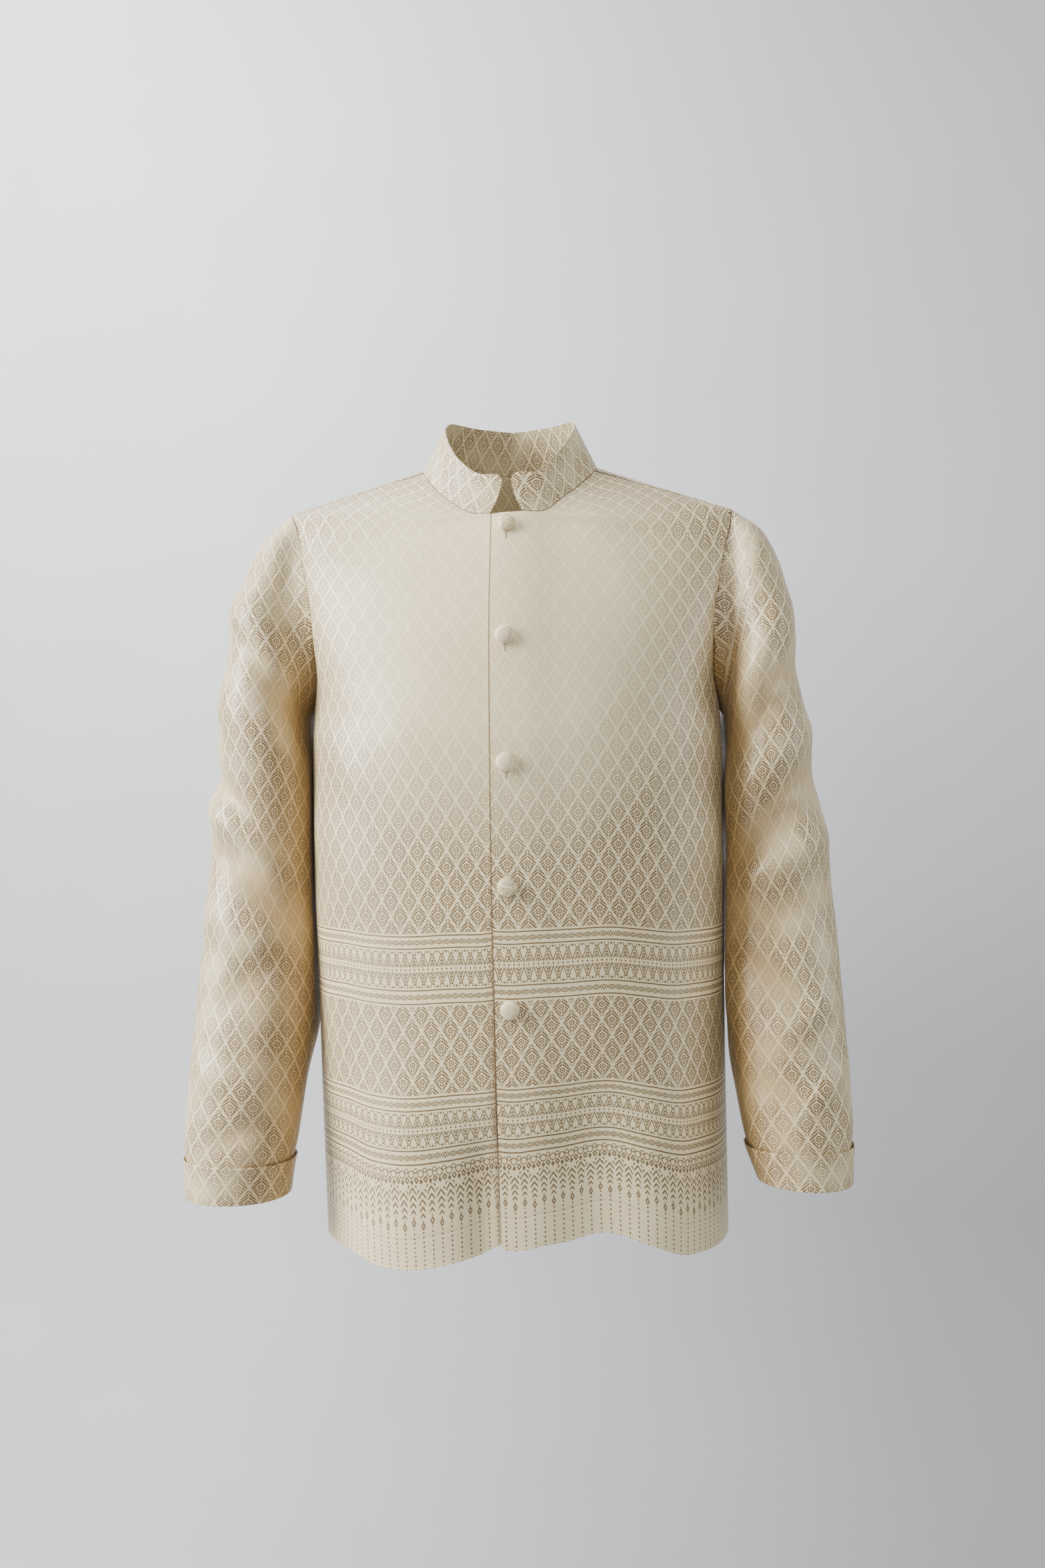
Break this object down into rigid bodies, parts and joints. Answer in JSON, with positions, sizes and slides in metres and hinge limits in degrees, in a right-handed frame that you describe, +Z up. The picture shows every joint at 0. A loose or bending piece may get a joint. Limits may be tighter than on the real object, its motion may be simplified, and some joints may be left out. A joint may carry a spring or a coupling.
{
  "type": "shirt",
  "caption": "Long-sleeve silk brocade shirt with an open band collar, covered buttons and turned-up cuffs, in its hollow worn form.",
  "frame": {"origin": "the middle of the neck base, level with the shoulder ridges by which a wearer's shoulders hold the shirt", "axes": "+X to the wearer's left, -Y to the front of the shirt, +Z up"},
  "size_m": [0.6314, 0.2901, 0.7992],
  "materials": {
    "brocade": "satin woven pattern",
    "covered_buttons": "satin woven pattern"
  },
  "bodies": {
    "root": {"front_left": "brocade", "front_right": "brocade", "back": "brocade", "sleeve_left": "brocade", "sleeve_right": "brocade", "cuff_left": "brocade", "cuff_right": "brocade", "collar": "brocade", "button_1": "covered_buttons", "button_2": "covered_buttons", "button_3": "covered_buttons", "button_4": "covered_buttons", "button_5": "covered_buttons"}
  },
  "joints": []
}
